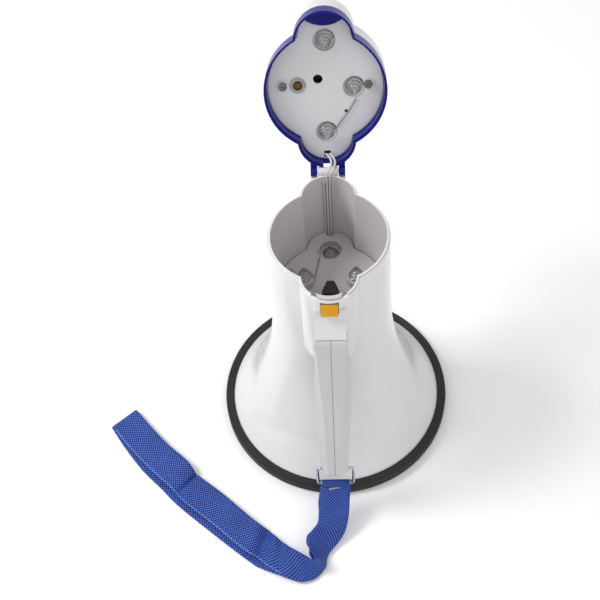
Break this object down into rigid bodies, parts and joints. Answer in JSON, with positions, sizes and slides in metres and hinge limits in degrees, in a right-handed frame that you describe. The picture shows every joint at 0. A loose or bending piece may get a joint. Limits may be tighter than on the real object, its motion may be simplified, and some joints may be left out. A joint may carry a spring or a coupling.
{
  "type": "handheld megaphone",
  "caption": "Handheld megaphone standing on its horn mouth, battery cap open on its hinge, folding handle with talk trigger and webbing strap.",
  "frame": {"origin": "centre of the horn's mouth, in the plane of the bumper ring's face that it stands on", "axes": "+Z from the mouth up the barrel to the battery opening; -Y towards the handle; +Y towards the cap's hinge; +X to the right when the handle faces the viewer"},
  "size_m": [0.2773, 0.2899, 0.3134],
  "materials": {
    "white_shell": "polished white moulding",
    "grey_moulding": "fine satin",
    "cap_plate_grey": "fine satin",
    "blue_trim": "polished royal blue moulding",
    "yellow_button": "polished yellow moulding",
    "black_bumper": "dull black rubber",
    "black_moulding": "satin black",
    "black_foam": "soft black",
    "spring_steel": "bright nickel-plated wire",
    "plated_steel": "bright plated steel",
    "plain_steel": "zinc-plated",
    "brass_contact": "bright",
    "copper_coil": "enamelled copper wire",
    "ferrite": "dull sintered ferrite",
    "amber_film": "thin phenolic film",
    "alloy": "plain",
    "green_board": "solder mask",
    "wire_sleeve": "soft vinyl",
    "blue_webbing": "woven royal blue webbing"
  },
  "bodies": {
    "root": {"housing": "white_shell", "mouth_ring": "black_bumper", "battery_floor": "grey_moulding", "cell_divider": "black_moulding", "floor_spring_back": "spring_steel", "floor_spring_left": "spring_steel", "floor_spring_right": "spring_steel", "floor_contact_front": "spring_steel", "floor_jumpers": "spring_steel", "floor_screws": "plated_steel", "lead_fixed": "wire_sleeve", "lead_flex": "wire_sleeve", "throat_horn": "white_shell", "reflector_cup": "white_shell", "driver_gasket": "black_foam", "driver_diaphragm": "amber_film", "voice_coil": "copper_coil", "driver_top_plate": "plain_steel", "driver_magnet": "ferrite", "driver_yoke": "plain_steel", "driver_cover": "alloy", "driver_terminals": "brass_contact", "throat_screws": "plated_steel", "cap_hinge_pin": "plated_steel", "handle_pin": "plated_steel", "latch_spring": "spring_steel"},
    "latch": {"latch_hook": "white_shell", "latch_button": "yellow_button"},
    "cap": {"cap_rim": "blue_trim", "cap_dome": "white_shell", "cap_plate": "cap_plate_grey", "cap_spring_front": "spring_steel", "cap_spring_right": "spring_steel", "cap_spring_hinge": "spring_steel", "cap_contact_ring": "plated_steel", "cap_contact_pin": "brass_contact", "cap_jumper": "spring_steel", "cap_screws": "plated_steel", "cap_gasket": "black_foam", "amplifier_board": "green_board", "board_components": "black_moulding", "heat_sink": "alloy", "microphone_capsule": "alloy", "mic_sleeve": "black_foam", "mic_grille": "black_moulding", "volume_pot": "plain_steel", "mode_switch": "black_moulding"},
    "volume": {"volume_knob": "black_moulding", "volume_shaft": "alloy"},
    "mode": {"mode_slider": "black_moulding"},
    "handle": {"grip_left": "white_shell", "grip_right": "white_shell", "grip_screws": "plated_steel", "talk_switch": "black_moulding", "trigger_spring": "spring_steel", "wrist_strap": "blue_webbing"},
    "trigger": {"trigger": "blue_trim"},
    "bail": {"strap_bail": "plated_steel", "strap_loop": "blue_webbing"}
  },
  "joints": [
    {"name": "latch_press", "type": "slide", "parent": "root", "child": "latch", "axis": [0, 1, 0], "range_m": [0, 0.0015], "stiffness_N_per_m": 800, "springref_m": -0.001, "deforming": ["latch_spring"]},
    {"name": "cap_hinge", "type": "hinge", "parent": "root", "child": "cap", "pos_m": [0, 0.057, 0.2094], "axis": [1, 0, 0], "range_deg": [0, 110.5], "deforming": ["lead_flex"]},
    {"name": "volume_turn", "type": "hinge", "parent": "cap", "child": "volume", "pos_m": [0, 0.0997, 0.2276], "axis": [0, 0.9367, -0.3502], "range_deg": [-135, 135]},
    {"name": "mode_slide", "type": "slide", "parent": "cap", "child": "mode", "axis": [1, 0, 0], "range_m": [-0.0035, 0.0035]},
    {"name": "handle_fold", "type": "hinge", "parent": "root", "child": "handle", "pos_m": [0, -0.06, 0.172], "axis": [-1, 0, 0], "range_deg": [0, 72.5]},
    {"name": "trigger_pull", "type": "slide", "parent": "handle", "child": "trigger", "axis": [0, -0.9537, 0.3007], "range_m": [0, 0.0035], "stiffness_N_per_m": 600, "springref_m": -0.002, "deforming": ["trigger_spring"]},
    {"name": "bail_swing", "type": "hinge", "parent": "handle", "child": "bail", "pos_m": [0, -0.09671, 0.05723], "axis": [1, 0, 0], "range_deg": [-75, 40]}
  ]
}
